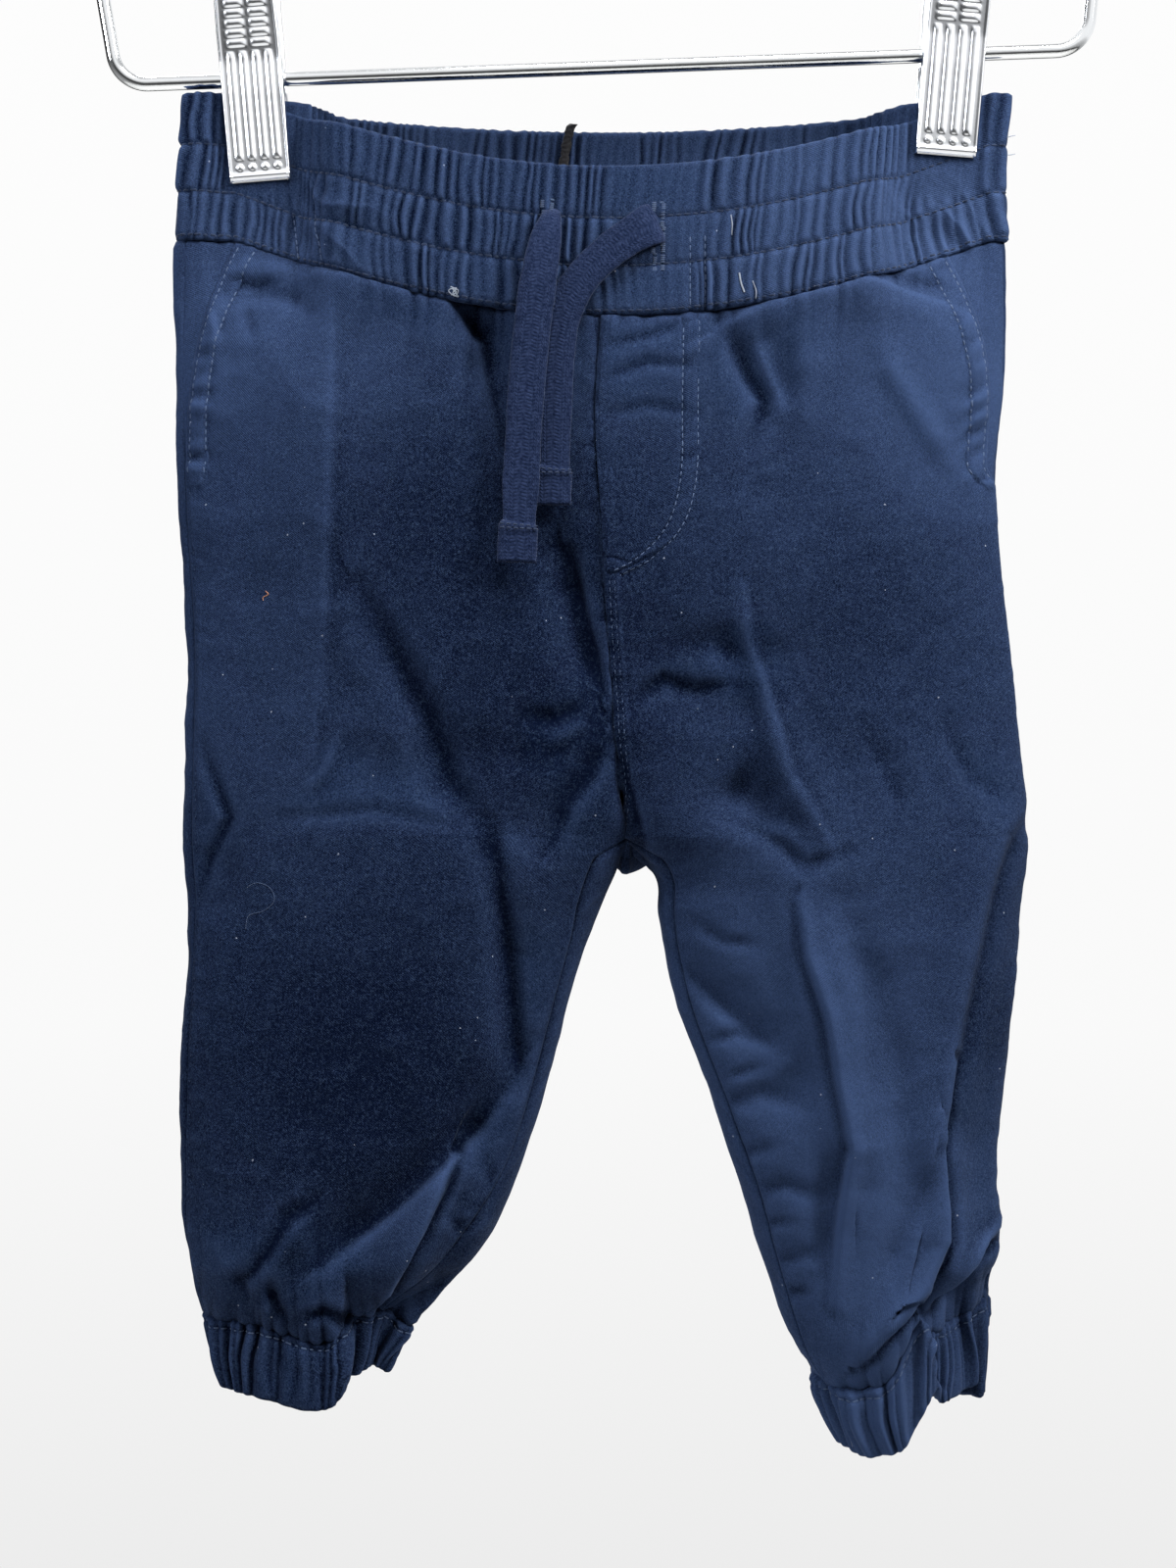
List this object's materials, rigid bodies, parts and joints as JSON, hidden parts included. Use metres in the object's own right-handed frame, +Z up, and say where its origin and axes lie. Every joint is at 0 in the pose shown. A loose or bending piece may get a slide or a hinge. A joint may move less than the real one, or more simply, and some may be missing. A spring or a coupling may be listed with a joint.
{
  "type": "chino joggers on a clip hanger",
  "caption": "Child's pull-on twill joggers with a gathered elastic waistband, drawstring, mock fly and elastic cuffs, clipped flat to a chrome wire hanger.",
  "frame": {"origin": "top of the inside of the hook, where a rod carries the hanger", "axes": "+X is the viewer's right from the front, +Y runs from the front to the back, +Z is up"},
  "size_m": [0.2633, 0.0439, 0.5103],
  "materials": {
    "cotton_twill": "brushed navy cotton twill, matt, with a little pale lint",
    "knit_tape": "flat knitted navy tape, matt",
    "overlock": "black overlocked seam edge",
    "chrome": "polished chrome plating"
  },
  "bodies": {
    "root": {"front_left": "cotton_twill", "front_right": "cotton_twill", "back_left": "cotton_twill", "back_right": "cotton_twill", "mock_fly": "cotton_twill", "waistband_front": "cotton_twill", "waistband_back": "cotton_twill", "back_seam_edge": "overlock", "pocket_facing_left": "cotton_twill", "pocket_facing_right": "cotton_twill", "cuff_left": "cotton_twill", "cuff_right": "cotton_twill", "drawstring_left": "knit_tape", "drawstring_right": "knit_tape", "hanger_frame": "chrome", "hanger_hook": "chrome", "clip_left_front": "chrome", "clip_left_back": "chrome", "clip_left_spring": "chrome", "clip_right_front": "chrome", "clip_right_back": "chrome", "clip_right_spring": "chrome"}
  },
  "joints": []
}
